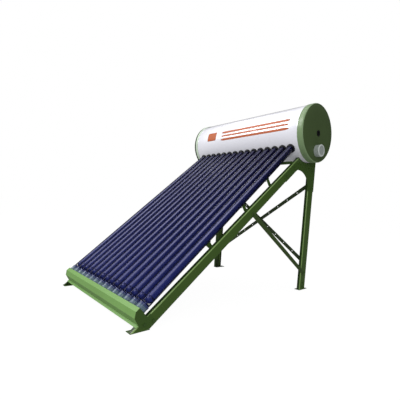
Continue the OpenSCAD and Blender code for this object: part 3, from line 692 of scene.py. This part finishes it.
def build_stripe():
    """Three plain coloured lines along the front of the shell, and a block before them."""
    r = SHELL_R / MM + 0.25
    bands = [(-0.445, -0.325, 3, 24), (-0.25, 0.52, -0.5, 4.5), (-0.25, 0.52, 8.5, 13),
             (-0.25, 0.52, 17, 22.5)]
    bm = bmesh.new()
    for x0, x1, low, high in bands:
        low, high = math.radians(180 - low), math.radians(180 - high)
        nx, na = 24, 12
        corner = 0.006
        grid = []
        for i in range(nx + 1):
            x = x0 + (x1 - x0) * i / nx
            inset = max(0.0, corner - min(x - x0, x1 - x))
            cut = corner - math.sqrt(max(0.0, corner ** 2 - inset ** 2))
            lo_a = low - cut / SHELL_R
            hi_a = high + cut / SHELL_R
            col = []
            for j in range(na + 1):
                a = lo_a + (hi_a - lo_a) * j / na
                col.append(bm.verts.new((x, AXIS_Y + r * MM * math.cos(a),
                                         AXIS_Z + r * MM * math.sin(a))))
            grid.append(col)
        for i in range(nx):
            for j in range(na):
                bm.faces.new([grid[i][j], grid[i][j + 1], grid[i + 1][j + 1],
                              grid[i + 1][j]])
    mesh = finish_mesh("stripe_film", bm, stripe_paint)
    obj = place_piece("stripe_film", mesh, ROOT)
    solid = obj.modifiers.new("film", "SOLIDIFY")
    solid.thickness = 0.0002
    solid.offset = 1


def build_sensor_boot():
    """The rubber boot on the sensor's lead, drawn out together with its plug."""
    place = end_frame(FACE_X, AXIS_Y, AXIS_Z)
    bm = bmesh.new()
    lathe(bm, [(0, -34), (5, -34), (9, -30), (11, -26), (11, -4)] + arc(8, -4, 3, 0, 80, 4)
          + [(5, -1.6), (4.6, -0.6), (0, -0.6)], place, 40)
    mesh = finish_mesh("sensor_boot", bm, rubber)
    place_piece("sensor_boot", mesh, "sensor_plug")


build_sensor_boot()
build_tubes()
build_cups()
build_caps()
build_cover()
build_shell()
build_stripe()

# ---------- camera, light and floor ----------

def build_camera():
    """The photograph's viewing angle: turned left, a little down, and slightly rolled."""
    data = bpy.data.cameras.new("camera")
    data.sensor_width = 36
    data.lens = 27.13
    data.shift_x = -0.0456
    data.shift_y = 0.0788
    camera = bpy.data.objects.new("camera", data)
    place = Vector((1.9309, -1.6082, 0.6806))
    yaw, pitch, roll = 0.8121, 0.0807, 0.0632
    ahead = Vector((-math.sin(yaw) * math.cos(pitch), math.cos(yaw) * math.cos(pitch),
                    -math.sin(pitch)))
    right = ahead.cross(Vector((0, 0, 1))).normalized()
    up = right.cross(ahead)
    right, up = (math.cos(roll) * right + math.sin(roll) * up,
                 -math.sin(roll) * right + math.cos(roll) * up)
    turn = Matrix((right, up, -ahead)).transposed().to_4x4()
    camera.matrix_world = Matrix.Translation(place) @ turn
    bpy.context.scene.collection.objects.link(camera)
    bpy.context.scene.camera = camera


def build_world():
    """White to the eye and dimmer as a light. Reflections see a dark horizon under a
    bright ceiling."""
    world = bpy.data.worlds.new("studio")
    bpy.context.scene.world = world
    world.use_nodes = True
    world.cycles.sampling_method = "NONE"
    tree = world.node_tree
    background = tree.nodes["Background"]
    background.inputs["Color"].default_value = (1, 1, 1, 1)
    path = tree.nodes.new("ShaderNodeLightPath")
    level = tree.nodes.new("ShaderNodeMapRange")
    level.inputs["To Min"].default_value = 0.52
    level.inputs["To Max"].default_value = 1.0
    sky = tree.nodes.new("ShaderNodeTexCoord")
    split = tree.nodes.new("ShaderNodeSeparateXYZ")
    ceiling = tree.nodes.new("ShaderNodeMapRange")
    ceiling.inputs["From Min"].default_value = 0.3
    ceiling.inputs["From Max"].default_value = 0.95
    ceiling.inputs["To Min"].default_value = 0.04
    ceiling.inputs["To Max"].default_value = 0.6
    choose = tree.nodes.new("ShaderNodeMix")
    link = tree.links.new
    link(path.outputs["Is Camera Ray"], level.inputs["Value"])
    link(sky.outputs["Generated"], split.inputs["Vector"])
    link(split.outputs["Z"], ceiling.inputs["Value"])
    link(path.outputs["Is Glossy Ray"], choose.inputs["Factor"])
    link(level.outputs["Result"], choose.inputs["A"])
    link(ceiling.outputs["Result"], choose.inputs["B"])
    link(choose.outputs["Result"], background.inputs["Strength"])


def build_lamps():
    middle, leg_foot, rear_top = (0, 0, 0.7), (0.56, -0.75, 0.15), (0.56, 0.7, 0.95)
    # name, place, target, width, height, watts
    lamps = [("key", (-3.2, -3.4, 4.6), middle, 2.6, 2.6, 250),
             ("ridge", (-2.3, 0.0, 4.5), middle, 1.2, 3.4, 60),
             ("top", (0.6, 0.4, 5.0), middle, 3.0, 3.0, 35),
             ("strip", (3.4, -3.3, 1.5), rear_top, 0.35, 1.4, 45),
             ("bend", (2.24, -1.86, 2.37), leg_foot, 0.5, 0.5, 12)]
    for name, place, target, width, height, watts in lamps:
        lamp = bpy.data.lights.new(name, "AREA")
        lamp.shape = "RECTANGLE"
        lamp.size = width
        lamp.size_y = height
        lamp.energy = watts
        obj = bpy.data.objects.new(name, lamp)
        obj.location = place
        aim = Vector(target) - Vector(place)
        obj.rotation_euler = aim.to_track_quat("-Z", "Y").to_euler()
        if name == "ridge":
            # Lies along the tubes' rise and is seen only in reflections.
            obj.visible_diffuse = False
            obj.rotation_euler = (0, math.radians(-32), 0)
        bpy.context.scene.collection.objects.link(obj)


def floor_material():
    """White sweep that lights the undersides and takes only a faint shadow."""
    s = Surface("floor", (0.07, 0.07, 0.07, 1), 0.8, specular=0.05)
    s.vary(1.5, 0.2, 0.985).bump(60, 0.0005, 0.05)
    s.bsdf.inputs["Emission Color"].default_value = (1, 1, 1, 1)
    path = s.node("ShaderNodeLightPath")
    glow = s.node("ShaderNodeMix")
    s.link(path.outputs["Is Glossy Ray"], glow.inputs["Factor"])
    s.link(s.spread(path.outputs["Is Camera Ray"], 0.44, 0.96, 0, 1), glow.inputs["A"])
    glow.inputs["B"].default_value = 0.1
    s.link(glow.outputs["Result"], s.bsdf.inputs["Emission Strength"])
    s.mat.cycles.emission_sampling = "NONE"
    return s.mat


def build_floor():
    bm = bmesh.new()
    bmesh.ops.create_circle(bm, cap_ends=True, segments=96, radius=40)
    mesh = finish_mesh("floor", bm, floor_material())
    floor = bpy.data.objects.new("floor", mesh)
    floor.location.z = cad_bounds[0].z - 0.0005
    bpy.context.scene.collection.objects.link(floor)


view = bpy.context.scene.view_settings
view.view_transform = "Standard"
view.look = "None"
bpy.context.scene.render.film_transparent = False
build_camera()
build_world()
build_lamps()
build_floor()
